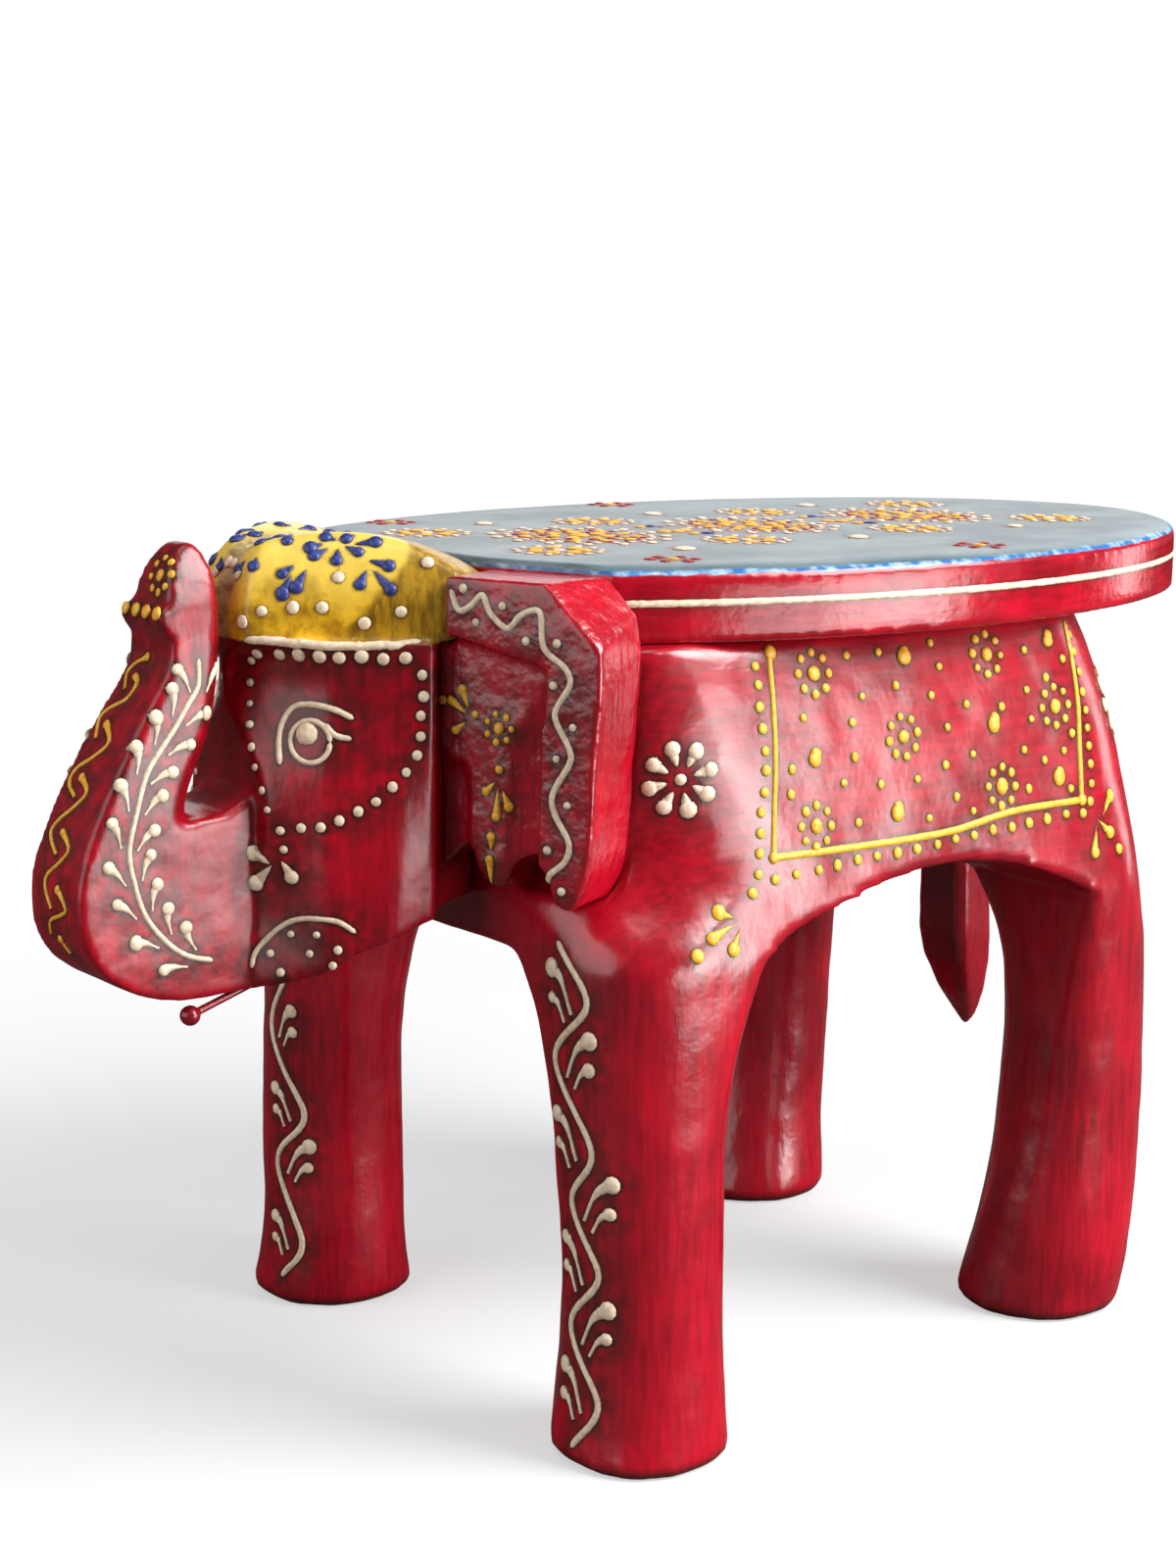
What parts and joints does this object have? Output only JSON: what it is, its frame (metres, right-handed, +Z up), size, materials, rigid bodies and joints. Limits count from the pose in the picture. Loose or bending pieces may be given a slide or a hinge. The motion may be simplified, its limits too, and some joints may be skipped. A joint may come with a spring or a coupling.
{
  "type": "carved elephant stool",
  "caption": "Low wooden stool carved as an elephant with a raised trunk, its back an oval seat board, painted with raised dots, vines and flowers.",
  "frame": {"origin": "on the floor, under the centre of the outline", "axes": "+Z up, -Y the way the elephant faces, +X its left side"},
  "size_m": [0.214, 0.422, 0.2646],
  "materials": {
    "red_lacquer": "gloss crimson paint over carved wood",
    "blue_lacquer": "gloss slate blue paint on top, crimson round the edge",
    "bare_wood": "unpainted mango wood",
    "nail_steel": "plain steel",
    "filler": "wood filler under slate blue paint"
  },
  "bodies": {
    "root": {"body_block": "red_lacquer", "head_block": "red_lacquer", "left_ear": "red_lacquer", "right_ear": "red_lacquer", "seat_board": "blue_lacquer", "tail": "red_lacquer", "jaw_peg": "red_lacquer", "neck_dowels": "bare_wood", "ear_dowels": "bare_wood", "tail_dowel": "bare_wood", "seat_nails": "nail_steel", "seat_putty": "filler"}
  },
  "joints": []
}
